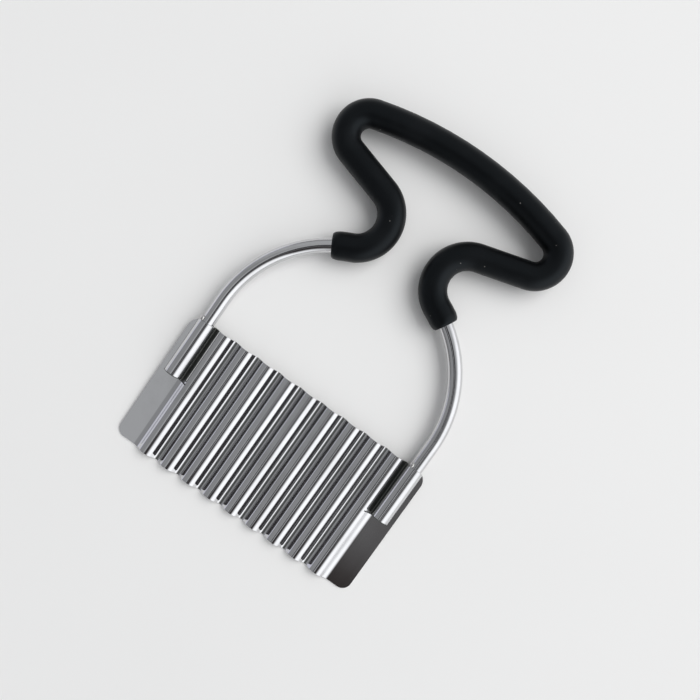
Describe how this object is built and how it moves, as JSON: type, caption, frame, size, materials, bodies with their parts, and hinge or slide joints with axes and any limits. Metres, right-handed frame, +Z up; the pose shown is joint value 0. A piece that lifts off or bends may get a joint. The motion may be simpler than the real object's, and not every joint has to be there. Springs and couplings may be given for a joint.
{
  "type": "crinkle cutter",
  "caption": "Hand-held crinkle cutter: a corrugated stainless sheet blade with side flanges, hung in a bent rod handle that carries a black soft grip sleeve.",
  "frame": {"origin": "bottom centre of the bounding box, on the table under the middle of the cutter as it lies on its back", "axes": "+X along the cutting edge, +Y from the cutting edge towards the grip bar, +Z up from the table"},
  "size_m": [0.115, 0.1764, 0.0136],
  "materials": {
    "blade_steel": "polished stainless sheet",
    "rod_steel": "bright drawn stainless rod",
    "grip_rubber": "matte black soft sleeve",
    "weld_steel": "bright weld bead"
  },
  "bodies": {
    "root": {"blade": "blade_steel", "handle_rod": "rod_steel", "grip_sleeve": "grip_rubber", "left_tack_weld": "weld_steel", "right_tack_weld": "weld_steel"}
  },
  "joints": []
}
